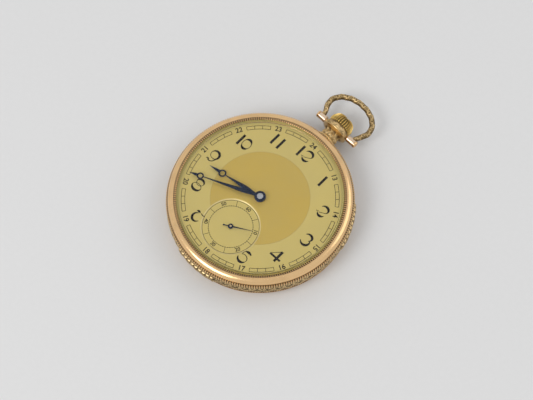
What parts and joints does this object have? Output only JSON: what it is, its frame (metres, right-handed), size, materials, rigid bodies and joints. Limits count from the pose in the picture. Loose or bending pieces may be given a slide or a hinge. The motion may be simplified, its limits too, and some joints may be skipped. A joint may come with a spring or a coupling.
{
  "type": "open face pocket watch",
  "caption": "Open face pocket watch with an engraved gold case, oval bow, fluted crown, sunk seconds dial, blued leaf hands and a hand-wound lever movement.",
  "frame": {"origin": "on the hand arbor's axis, at the flat middle of the case back", "axes": "+Z out of the dial, +Y towards the pendant and 12 o'clock, +X towards 3 o'clock"},
  "size_m": [0.0448, 0.0585, 0.0095],
  "materials": {
    "rose_gold": "polished rose gold, lightly brushed by wear",
    "band_gold": "engraved yellow gold",
    "yellow_gold": "fluted yellow gold",
    "worn_gold": "engraved gold, darkened in its recesses",
    "crystal": "clear, domed",
    "dial": "champagne gilt, matt",
    "blued_steel": "heat blued and polished",
    "steel": "polished steel",
    "nickel": "striped nickel",
    "brass": "gilt brass"
  },
  "bodies": {
    "case": {"bow_screw_left": "rose_gold", "bow_screw_right": "rose_gold", "case_middle": "band_gold", "pendant": "worn_gold", "dial": "dial", "hairspring": "blued_steel", "barrel_bridge_screw_1": "blued_steel", "barrel_bridge_screw_2": "blued_steel", "barrel_bridge_screw_3": "blued_steel", "train_bridge_screw_1": "blued_steel", "train_bridge_screw_2": "blued_steel", "balance_cock_screw": "blued_steel", "crown_wheel_screw": "blued_steel", "click_screw": "blued_steel", "setting_lever_screw": "steel", "yoke_spring": "steel", "click_spring": "steel", "case_screw_left": "steel", "case_screw_right": "steel", "pallet_cock_screw_1": "steel", "pallet_cock_screw_2": "steel", "main_plate": "nickel", "barrel_bridge": "nickel", "train_bridge": "nickel", "balance_cock": "nickel", "pallet_cock": "nickel"},
    "back_cover": {"back_cover": "rose_gold"},
    "bezel": {"bezel": "rose_gold", "crystal": "crystal"},
    "bow": {"bow": "worn_gold"},
    "winding_pinion": {"winding_pinion": "steel"},
    "crown": {"crown": "yellow_gold", "stem": "steel"},
    "sliding_pinion": {"sliding_pinion": "steel"},
    "setting_lever": {"setting_lever": "steel"},
    "yoke": {"yoke": "steel"},
    "crown_wheel": {"crown_wheel": "steel"},
    "ratchet_wheel": {"ratchet_wheel": "steel", "ratchet_screw": "blued_steel", "barrel_arbor": "steel"},
    "click": {"click": "steel"},
    "barrel": {"barrel": "brass", "barrel_cover": "brass", "mainspring": "steel"},
    "centre_wheel": {"centre_wheel": "brass"},
    "third_wheel": {"third_wheel": "brass"},
    "fourth_wheel": {"fourth_wheel": "brass", "seconds_hand": "blued_steel"},
    "escape_wheel": {"escape_wheel": "steel"},
    "pallet_fork": {"pallet_fork": "steel"},
    "balance": {"balance": "brass"},
    "regulator": {"regulator": "steel"},
    "minute_hand": {"minute_hand": "blued_steel", "cannon_pinion": "steel"},
    "hour_hand": {"hour_hand": "blued_steel", "hour_wheel": "brass"},
    "minute_wheel": {"minute_wheel": "brass"},
    "setting_wheel": {"setting_wheel": "steel"}
  },
  "joints": [
    {"name": "back_cover_off", "type": "slide", "parent": "case", "child": "back_cover", "axis": [0, 0, -1], "range_m": [0, 0.012]},
    {"name": "bezel_off", "type": "slide", "parent": "case", "child": "bezel", "axis": [0, 0, 1], "range_m": [0, 0.012]},
    {"name": "bow_swing", "type": "hinge", "parent": "case", "child": "bow", "pos_m": [0, 0.02649, 0.0039], "axis": [1, 0, 0], "range_deg": [-90, 90]},
    {"name": "crown_turn", "type": "hinge", "parent": "case", "child": "winding_pinion", "pos_m": [0, 0.0138, 0.0039], "axis": [0, 1, 0], "continuous": true},
    {"name": "crown_pull", "type": "slide", "parent": "winding_pinion", "child": "crown", "axis": [0, 1, 0], "range_m": [0, 0.0008]},
    {"name": "clutch_shift", "type": "slide", "parent": "winding_pinion", "child": "sliding_pinion", "axis": [0, 1, 0], "range_m": [-0.00072, 0]},
    {"name": "setting_lever_tilt", "type": "hinge", "parent": "case", "child": "setting_lever", "pos_m": [0.0042, 0.01642, 0.0061], "axis": [0, 0, 1], "range_deg": [-14, 0]},
    {"name": "yoke_tilt", "type": "hinge", "parent": "case", "child": "yoke", "pos_m": [-0.00535, 0.01093, 0.0039], "axis": [0, 0, 1], "range_deg": [-11, 0]},
    {"name": "crown_wheel_turn", "type": "hinge", "parent": "case", "child": "crown_wheel", "pos_m": [0, 0.0103, 0.0013], "axis": [0, 0, 1], "continuous": true},
    {"name": "ratchet_turn", "type": "hinge", "parent": "case", "child": "ratchet_wheel", "pos_m": [0.00739, 0.0043, 0.0013], "axis": [0, 0, 1], "continuous": true},
    {"name": "click_lift", "type": "hinge", "parent": "case", "child": "click", "pos_m": [0.01397, 0.01022, 0.0013], "axis": [0, 0, 1], "range_deg": [-8, 0]},
    {"name": "seconds_turn", "type": "hinge", "parent": "case", "child": "fourth_wheel", "pos_m": [0, -0.00995, 0.0037], "axis": [0, 0, 1], "continuous": true},
    {"name": "escape_turn", "type": "hinge", "parent": "case", "child": "escape_wheel", "pos_m": [-0.00419, -0.00753, 0.0043], "axis": [0, 0, 1], "continuous": true},
    {"name": "third_turn", "type": "hinge", "parent": "case", "child": "third_wheel", "pos_m": [0.00473, -0.00572, 0.003], "axis": [0, 0, 1], "continuous": true},
    {"name": "centre_turn", "type": "hinge", "parent": "case", "child": "centre_wheel", "pos_m": [0, 0, 0.0027], "axis": [0, 0, 1], "continuous": true},
    {"name": "barrel_turn", "type": "hinge", "parent": "case", "child": "barrel", "pos_m": [0.00739, 0.0043, 0.004], "axis": [0, 0, 1], "continuous": true},
    {"name": "fork_swing", "type": "hinge", "parent": "case", "child": "pallet_fork", "pos_m": [-0.00648, -0.00559, 0.0043], "axis": [0, 0, 1], "range_deg": [-4.5, 4.5]},
    {"name": "balance_swing", "type": "hinge", "parent": "case", "child": "balance", "pos_m": [-0.0093, -0.0032, 0.0032], "axis": [0, 0, 1], "range_deg": [-270, 270], "stiffness_Nm_per_rad": 0.0000009},
    {"name": "regulator_turn", "type": "hinge", "parent": "case", "child": "regulator", "pos_m": [-0.0093, -0.0032, 0.0014], "axis": [0, 0, 1], "range_deg": [-20, 20]},
    {"name": "minute_hand_turn", "type": "hinge", "parent": "case", "child": "minute_hand", "pos_m": [0, 0, 0.0082], "axis": [0, 0, 1], "continuous": true},
    {"name": "hour_hand_turn", "type": "hinge", "parent": "case", "child": "hour_hand", "pos_m": [0, 0, 0.0078], "axis": [0, 0, 1], "continuous": true},
    {"name": "minute_wheel_turn", "type": "hinge", "parent": "case", "child": "minute_wheel", "pos_m": [-0.0038, 0.00293, 0.0062], "axis": [0, 0, 1], "continuous": true},
    {"name": "setting_wheel_turn", "type": "hinge", "parent": "case", "child": "setting_wheel", "pos_m": [0, 0.0069, 0.0058], "axis": [0, 0, 1], "continuous": true}
  ],
  "couplings": [
    {"joint": "clutch_shift", "follows": "crown_pull", "ratio": -0.9},
    {"joint": "setting_lever_tilt", "follows": "crown_pull", "rad_per_m": -288.57},
    {"joint": "yoke_tilt", "follows": "crown_pull", "rad_per_m": -217.37},
    {"joint": "crown_wheel_turn", "follows": "crown_turn", "ratio": 0.66667},
    {"joint": "ratchet_turn", "follows": "crown_turn", "ratio": -0.4},
    {"joint": "escape_turn", "follows": "seconds_turn", "ratio": -10},
    {"joint": "third_turn", "follows": "seconds_turn", "ratio": -0.13333},
    {"joint": "centre_turn", "follows": "seconds_turn", "ratio": 0.016667},
    {"joint": "barrel_turn", "follows": "seconds_turn", "ratio": -0.0020833},
    {"joint": "hour_hand_turn", "follows": "minute_hand_turn", "ratio": 0.083333},
    {"joint": "minute_wheel_turn", "follows": "minute_hand_turn", "ratio": -0.33333},
    {"joint": "setting_wheel_turn", "follows": "minute_hand_turn", "ratio": 0.63158}
  ]
}
